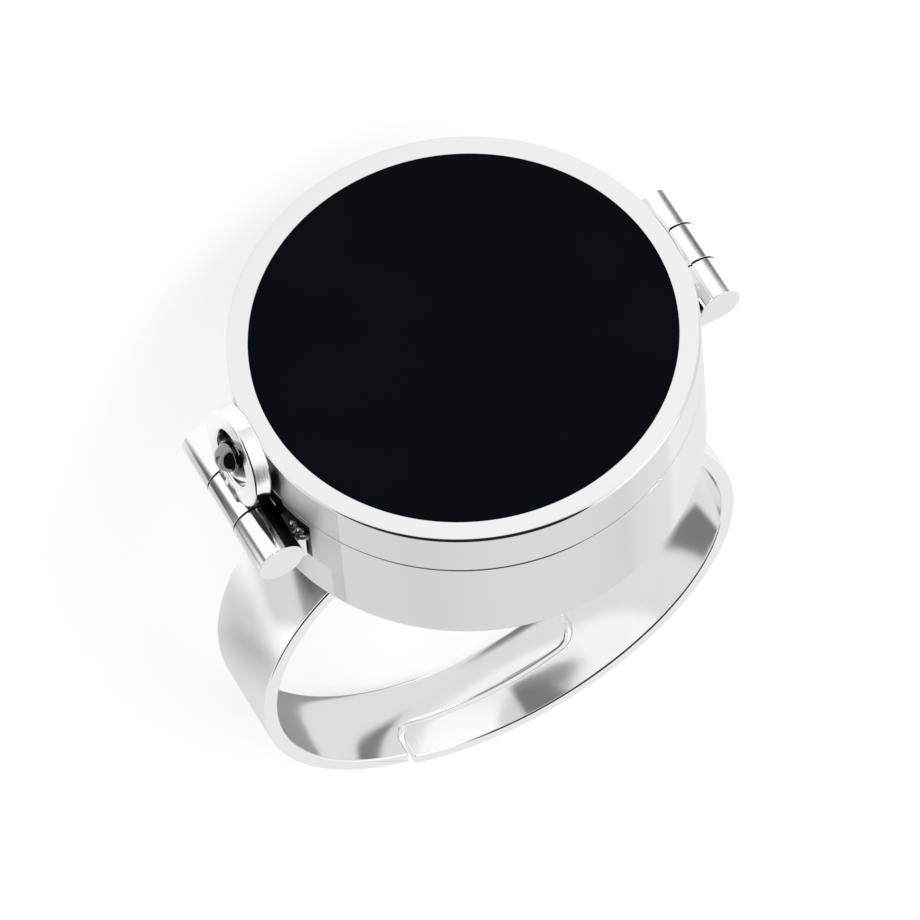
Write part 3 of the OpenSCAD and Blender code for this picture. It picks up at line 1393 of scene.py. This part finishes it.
@dataclass(frozen=True)
class Card:
    """A dark sheet beside the ring that paints dark reflections; only the ring's reflections see
    it.

    Its middle and half sizes are in millimetres. It lies flat, turned about Z, in degrees. Shade
    is how much light its middle takes away, and soft is the part of each half size over which that
    fades out.
    """

    name: str
    middle: tuple[float, float, float]
    half: tuple[float, float]
    turn: float
    shade: float
    soft: tuple[float, float]

    def make(self) -> Piece:
        """Hangs the card.

        Returns:
            The card.
        """
        Bench.clear()
        bpy.ops.mesh.primitive_plane_add(size=2.0)
        card = bpy.context.object
        card.name = self.name
        card.matrix_world = (
            Matrix.Translation(Vector(self.middle) * MM)
            @ Matrix.Rotation(math.radians(self.turn), 4, "Z")
            @ Matrix.Diagonal((self.half[0] * MM, self.half[1] * MM, MM, 1.0))
        )
        card.data.materials.append(self.film())
        card.visible_camera = False
        card.visible_diffuse = False
        card.visible_shadow = False
        return card

    def film(self) -> bpy.types.Material:
        """Makes the sheet's see-through shade, which is clear at its edges.

        Returns:
            The material.
        """
        nodes = Nodes(self.name)
        nodes.tree.nodes.remove(nodes.shader)
        where = nodes.add("TexCoord", {}).outputs["Object"]
        parts = nodes.add("SeparateXYZ", {"Vector": where})
        fades = []
        for side, soft in zip("XY", self.soft):
            far = nodes.add("Math", {0: parts.outputs[side]}, operation="ABSOLUTE")
            edge = {"From Min": 1.0 - soft, "From Max": 1.0, "To Min": 1.0, "To Max": 0.0}
            edge["Value"] = far.outputs["Value"]
            fade = nodes.add("MapRange", edge, interpolation_type="SMOOTHSTEP")
            fades.append(fade.outputs["Result"])
        both = nodes.add("Math", dict(enumerate(fades)), operation="MULTIPLY")
        dim = {"Value": both.outputs["Value"], "To Min": 1.0, "To Max": 1.0 - self.shade}
        keep = nodes.add("MapRange", dim)
        clear = nodes.add("BsdfTransparent", {"Color": keep.outputs["Result"]})
        nodes.feed(nodes.tree.nodes["Material Output"], {"Surface": clear.outputs["BSDF"]})
        return nodes.material


ROOM_SIZE = (1500.0, 1500.0)
# Dark sheets placed where the ring reflects them, as painted dark reflections.
CARDS = (
    Card("card_ceiling", (640.0, 0.0, 420.0), (765.0, 1500.0), 0.0, 0.985, (0.04, 0.15)),
    Card("card_behind", (1440.0, 1503.0, 0.3), ROOM_SIZE, 0.0, 0.24, (0.047, 0.0014)),
    Card("card_behind_right", (-1490.0, 1540.0, 0.35), ROOM_SIZE, 0.0, 0.17, (0.047, 0.013)),
    Card("card_hinge_dark", (-42.0, -37.0, 0.2), (13.0, 13.0), 0.0, 0.85, (0.4, 0.4)),
    Card("card_hinge_grey", (-42.0, -54.0, 0.25), (14.0, 14.0), 0.0, 0.6, (0.6, 0.6)),
    Card("card_left_side", (14.3, 3.7, 0.2), (5.5, 5.2), 0.0, 0.36, (0.9, 0.9)),
    Card("card_clasp_light", (21.4, -5.8, 0.22), (8.5, 4.4), -38.0, 0.34, (0.3, 0.3)),
    Card("card_band_corner", (22.8, -5.7, 0.23), (2.4, 3.4), -38.0, 0.5, (0.3, 0.3)),
    Card("card_clasp_streak", (29.0, -14.5, 0.24), (13.0, 4.5), -38.0, 0.8, (0.2, 0.8)),
    Card("card_tongue", (1.7, -6.6, 0.1), (2.9, 3.7), 0.0, 0.72, (0.25, 0.25)),
    Card("card_palm_left", (4.47, 11.36, 0.1), (3.4, 1.25), -36.6, 0.56, (0.1, 0.12)),
    Card("card_palm_right", (-2.75, 9.5, 0.12), (2.3, 1.3), -26.0, 0.74, (0.35, 0.3)),
)


@dataclass
class Studio:
    """The floor, the light and the camera.

    The camera's angles are to the worn ring, as the photo shows it: its azimuth, elevation and
    roll in degrees, its distance in box radii, how many pixels a box radius takes at the lid, and
    how far the lid's middle lies from the picture's middle, in box radii. The sky's brightness
    goes from horizon to zenith, which it reaches at zenith_from of the way up. The key light's
    place and side are in metres, and its power is in watts.
    """

    azimuth: float = -23.5
    elevation: float = 58.9
    roll: float = -5.4
    distance: float = 50.0
    scale_px: float = 238.1
    aside: tuple[float, float] = (0.0145, 0.520)
    floor_glow: float = 0.62
    floor_colour: float = 0.4
    floor_m: float = 6.0
    horizon: float = 0.8
    zenith: float = 1.1
    zenith_from: float = 0.8
    key_spot: tuple[float, float, float] = (-0.31, -0.35, 0.36)
    key_aim: tuple[float, float, float] = (0.0, 0.0, 0.01)
    key_m: float = 0.18
    key_watts: float = 0.75

    def camera(self) -> Piece:
        """Places the camera.

        Returns:
            The camera.
        """
        a, e, r = (math.radians(v) for v in (self.azimuth, self.elevation, self.roll))
        back = Vector((math.sin(a) * math.cos(e), -math.cos(a) * math.cos(e), math.sin(e)))
        level = Vector((0.0, 0.0, 1.0)).cross(back).normalized()
        upright = back.cross(level)
        right = math.cos(r) * level + math.sin(r) * upright
        up = -math.sin(r) * level + math.cos(r) * upright
        spot = back * self.distance - right * self.aside[0] - up * self.aside[1]
        spot *= REST.box_r
        data = bpy.data.cameras.new("camera")
        data.sensor_width = SENSOR_MM
        data.lens = SENSOR_MM * self.scale_px * self.distance / IMAGE_PX
        data.clip_start, data.clip_end = 0.01, 10.0
        camera = bpy.data.objects.new("camera", data)
        bpy.context.scene.collection.objects.link(camera)
        turn = Matrix((right, up, back)).transposed().to_4x4()
        place = REST.place() @ Matrix.Translation(spot) @ turn
        place.translation = place.translation * MM
        camera.matrix_world = place
        bpy.context.scene.camera = camera
        return camera

    def floor(self) -> None:
        """Lays the pale floor, lit a little from below so that shadows stay light."""
        Bench.clear()
        bpy.ops.mesh.primitive_plane_add(size=self.floor_m)
        floor = Bench.fresh("floor")
        nodes = Nodes("pale_floor")
        surface = {
            "Base Color": (*(self.floor_colour,) * 3, 1.0),
            "Roughness": 0.9,
            "Specular IOR Level": 0.0,
            "Emission Color": (1.0, 1.0, 1.0, 1.0),
            "Emission Strength": self.floor_glow,
        }
        nodes.feed(nodes.shader, surface)
        floor.data.materials.append(nodes.material)

    def sky(self) -> None:
        """Lights the studio evenly from all round, brighter from above."""
        world = bpy.data.worlds.new("studio")
        bpy.context.scene.world = world
        world.use_nodes = True
        tree = world.node_tree
        where = tree.nodes.new("ShaderNodeTexCoord")
        parts = tree.nodes.new("ShaderNodeSeparateXYZ")
        ramp = tree.nodes.new("ShaderNodeValToRGB")
        tree.links.new(where.outputs["Generated"], parts.inputs["Vector"])
        tree.links.new(parts.outputs["Z"], ramp.inputs["Fac"])
        tree.links.new(ramp.outputs["Color"], tree.nodes["Background"].inputs["Color"])
        low, high = ramp.color_ramp.elements
        low.color = (*(self.horizon,) * 3, 1.0)
        high.color = (*(self.zenith,) * 3, 1.0)
        high.position = self.zenith_from
        tree.nodes["Background"].inputs["Strength"].default_value = 1.0

    def key_light(self) -> None:
        """Hangs the soft square key light."""
        data = bpy.data.lights.new("key_light", "AREA")
        data.shape = "SQUARE"
        data.size = self.key_m
        data.energy = self.key_watts
        light = bpy.data.objects.new("key_light", data)
        light.location = Vector(self.key_spot)
        towards = Vector(self.key_aim) - light.location
        light.rotation_euler = towards.to_track_quat("-Z", "Y").to_euler()
        bpy.context.scene.collection.objects.link(light)

    def set_up(self) -> None:
        """Sets up the floor, the light, the cards and the camera."""
        self.floor()
        self.sky()
        self.key_light()
        for card in CARDS:
            card.make()
        self.camera()
        bpy.context.scene.view_settings.view_transform = "Standard"


@dataclass
class SolderBeads:
    """The beads of solder between the clasp's front knuckle and the wall.

    Each spot is a bead's middle and its radius. Pull is how far its outer half is drawn out, to
    one side or the other along the finger by turns.
    """

    spots: tuple[tuple[float, float, float, float], ...] = (
        (-8.5, -2.42, -2.86, 0.15),
        (-8.46, -2.62, -3.02, 0.12),
        (-8.42, -2.8, -2.86, 0.14),
        (-8.4, -2.9, -3.12, 0.13),
        (-8.36, -3.06, -3.0, 0.11),
        (-8.52, -2.56, -3.22, 0.12),
    )
    pull: tuple[float, float, float] = (-0.04, 0.03, 0.02)

    def model(self) -> Piece:
        """Models the beads.

        Returns:
            The beads, as one object.
        """
        beads = []
        for number, (x, y, z, r) in enumerate(self.spots):
            Bench.clear()
            bpy.ops.mesh.primitive_uv_sphere_add(
                segments=24, ring_count=12, radius=r, location=(x, y, z)
            )
            bead = Bench.fresh("clasp_solder")
            with Bench.shaping(bead):
                Bench.choose(bead, Pick.CORNER, lambda v: v.co.x < x)
                aside = self.pull[1] * (-1) ** number
                bpy.ops.transform.translate(value=(self.pull[0], aside, self.pull[2]))
            beads.append(bead)
        solder = Bench.merge(*beads)
        Bench.smooth(solder, 60.0)
        return solder


@dataclass
class Ring:
    """The whole ring."""

    finishes: Finishes

    def build(self) -> None:
        """Builds every piece and lets it ride on its body."""
        look = self.finishes
        hinge = Barrel(
            name="hinge",
            x=9.39,
            z=-2.0,
            r=0.8,
            length=5.16,
            middle=0.13,
            side=-1,
            outer_block=(-0.8, -0.15),
        )
        clasp = Barrel(
            name="clasp",
            x=-9.52,
            z=-3.6,
            r=0.92,
            length=6.2,
            middle=-0.15,
            side=1,
            outer_block=(-0.92, 0.35),
            seam_turn=14.0,
            painted_shade_from=14.0,
            block_back=0.35,
        )
        box = RoundBox(hinge, clasp)
        self.build_case(box, Band())
        self.build_lid(box)
        hasp = Hasp(clasp).model()
        Bench.dress(hasp, look.plate)
        Bench.settle(hasp, Body.HASP, "hasp")

    def build_case(self, box: RoundBox, band: Band) -> None:
        """Builds what stands for the case.

        Args:
            box: the round box with its barrels.
            band: the band.
        """
        look = self.finishes
        cup = box.cup()
        # Behind the clasp, the cup's wall takes satin steel and near-black painted shade.
        Bench.dress(
            cup,
            look.polished,
            (look.satin, lambda f: box.behind_clasp(f, box.satin_zone)),
            (look.painted_shade, lambda f: box.behind_clasp(f, box.low_zone, box.corner_top)),
            (look.painted_shade, lambda f: box.behind_clasp(f, box.dark_zone)),
        )
        Bench.settle(cup, Body.CASE, "case_and_band")
        strip = band.model()
        Bench.dress(strip, look.band)
        Bench.settle(strip, Body.CASE)
        for solder in (band.pad(), SolderBeads().model()):
            Bench.dress(solder, look.solder)
            Bench.settle(solder, Body.CASE)
        for barrel in (box.hinge, box.clasp):
            knuckles = barrel.outer_knuckles()
            Bench.smooth(knuckles)
            # Their blocks take near-black painted shade, and so do the clasp's sides towards the
            # wall.
            Bench.dress(knuckles, look.barrel, (look.painted_shade, barrel.in_painted_shade))
            Bench.settle(knuckles, Body.CASE)

    def build_lid(self, box: RoundBox) -> None:
        """Builds what stands for the lid and its disc.

        Args:
            box: the round box with its barrels.
        """
        look = self.finishes
        lid = box.lid()
        # Behind the clasp, the lid's wall takes satin steel and a painted shade spot round the
        # ball's foot.
        Bench.dress(
            lid,
            look.polished,
            (look.satin, lambda f: box.behind_clasp(f, box.satin_zone)),
            (look.spot_shaded, lambda f: box.behind_clasp(f, box.spot_shaded_zone)),
        )
        Bench.settle(lid, Body.LID, "lid")
        knuckle = box.lid_knuckle()
        Bench.smooth(knuckle)
        # Its block takes near-black painted shade.
        Bench.dress(knuckle, look.barrel, (look.painted_shade, box.hinge.in_painted_shade))
        Bench.settle(knuckle, Body.LID)
        ball = box.ball_stud()
        Bench.dress(ball, look.ball)
        Bench.settle(ball, Body.LID)
        disc = box.inlay()
        Bench.dress(disc, look.inlay)
        Bench.settle(disc, Body.LID, "lid_inlay", "black_inlay")


def main() -> None:
    """Builds the studio and the ring."""
    logging.basicConfig(level=logging.INFO, format="%(name)s: %(message)s", stream=sys.stdout)
    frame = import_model()
    finishes = Finishes()
    for node in ("hinge_pin", "clasp_pin"):
        frame["nodes"][node].data.materials.clear()
        frame["nodes"][node].data.materials.append(finishes.barrel)
    Ring(finishes).build()
    Studio().set_up()


if __name__ == "__main__":
    main()
